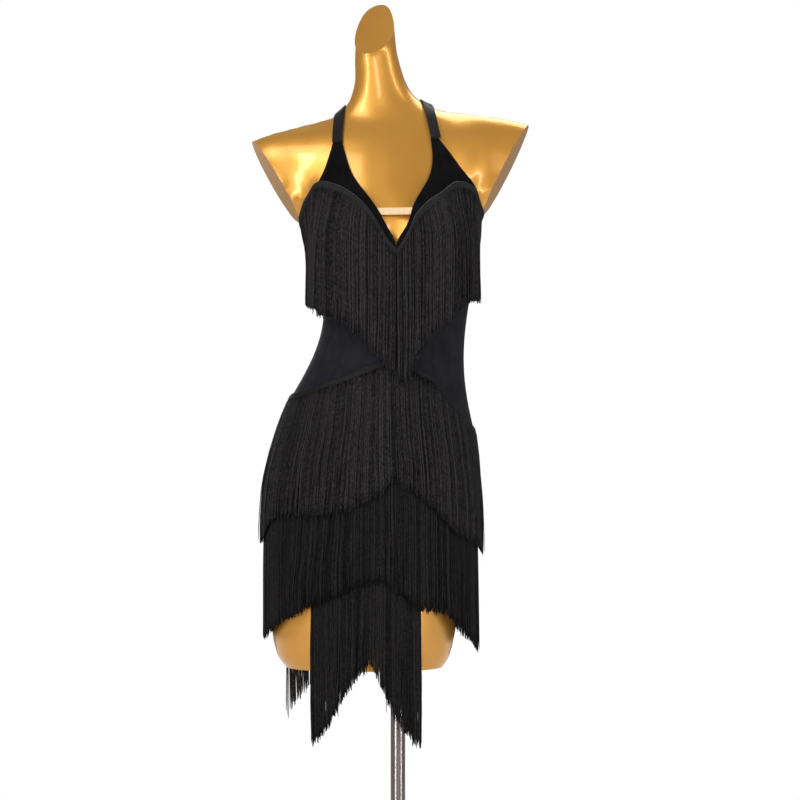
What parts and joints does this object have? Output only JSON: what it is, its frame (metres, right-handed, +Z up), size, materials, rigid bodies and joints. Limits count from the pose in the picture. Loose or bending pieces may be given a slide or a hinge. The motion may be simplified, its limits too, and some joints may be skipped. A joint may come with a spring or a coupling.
{
  "type": "latin dance dress on dress form",
  "caption": "Halter-neck dance dress with a deep V, open shoulders and tiers of long fringe, on a limbless torso form with a pole and a round foot plate.",
  "frame": {"origin": "centre of the foot plate's underside, on the floor under the pole", "axes": "+Z up along the pole, -Y the front of the dress, +X to the right of a viewer who faces the front"},
  "size_m": [0.4031, 0.36, 1.6349],
  "materials": {
    "black_knit": "fine stretch knit with a faint sheen",
    "black_elastic": "satin elastic",
    "black_tape": "folded, stitched fringe tape",
    "black_fringe": "twisted chainette strands with a soft sheen",
    "nude_band": "matte elastic",
    "gold_lacquer": "glossy metallic gold lacquer",
    "brushed_steel": "polished steel tube and brushed plate"
  },
  "bodies": {
    "root": {"bodice_front_left": "black_knit", "bodice_front_right": "black_knit", "midriff_front": "black_knit", "bodice_back": "black_knit", "skirt_front": "black_knit", "skirt_back": "black_knit", "strap_left": "black_elastic", "strap_right": "black_elastic", "bust_left_tape": "black_tape", "bust_right_tape": "black_tape", "hip_front_tape": "black_tape", "hip_back_tape": "black_tape", "thigh_front_tape": "black_tape", "thigh_back_tape": "black_tape", "point_front_tape": "black_tape", "point_back_tape": "black_tape", "bust_left_fringe": "black_fringe", "bust_right_fringe": "black_fringe", "hip_front_fringe": "black_fringe", "hip_back_fringe": "black_fringe", "thigh_front_fringe": "black_fringe", "thigh_back_fringe": "black_fringe", "point_front_fringe": "black_fringe", "point_back_fringe": "black_fringe", "nude_bar": "nude_band", "form_body": "gold_lacquer", "form_pole": "brushed_steel", "form_base": "brushed_steel"}
  },
  "joints": []
}
